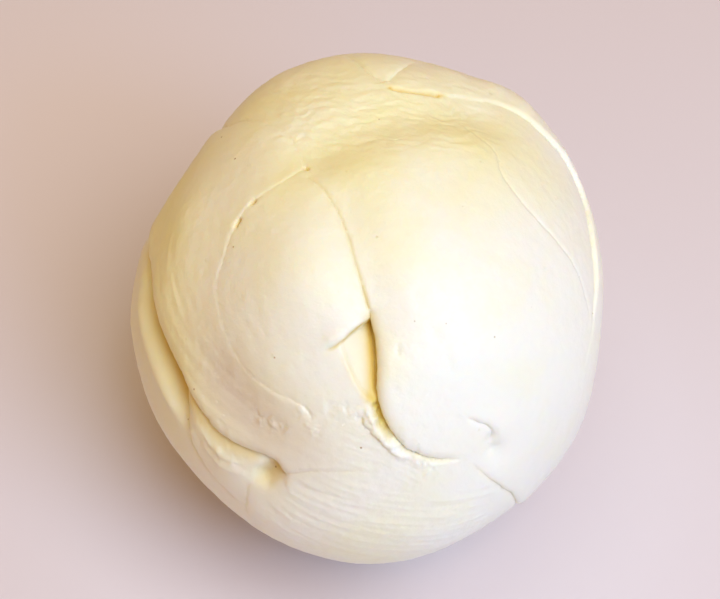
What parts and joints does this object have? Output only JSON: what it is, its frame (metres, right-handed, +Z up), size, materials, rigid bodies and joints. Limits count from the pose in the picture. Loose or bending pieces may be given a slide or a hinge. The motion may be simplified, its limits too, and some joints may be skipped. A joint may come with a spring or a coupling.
{
  "type": "ball of cheese",
  "caption": "Ball of pulled-curd cheese: a wide ribbon of soft curd wound and folded on itself into one solid ball, with creases, lips and a small hollow, resting on a small flat spot.",
  "frame": {"origin": "on the flat spot that the ball rests on, under the middle of its bounding box", "axes": "+Z up from the resting face, +X to the right and -Y towards the viewer, who sees the side where the last folds close"},
  "size_m": [0.1028, 0.1166, 0.0997],
  "materials": {
    "curd": "moist, smooth, slightly translucent curd skin"
  },
  "bodies": {
    "root": {"cheese_ball": "curd"}
  },
  "joints": []
}
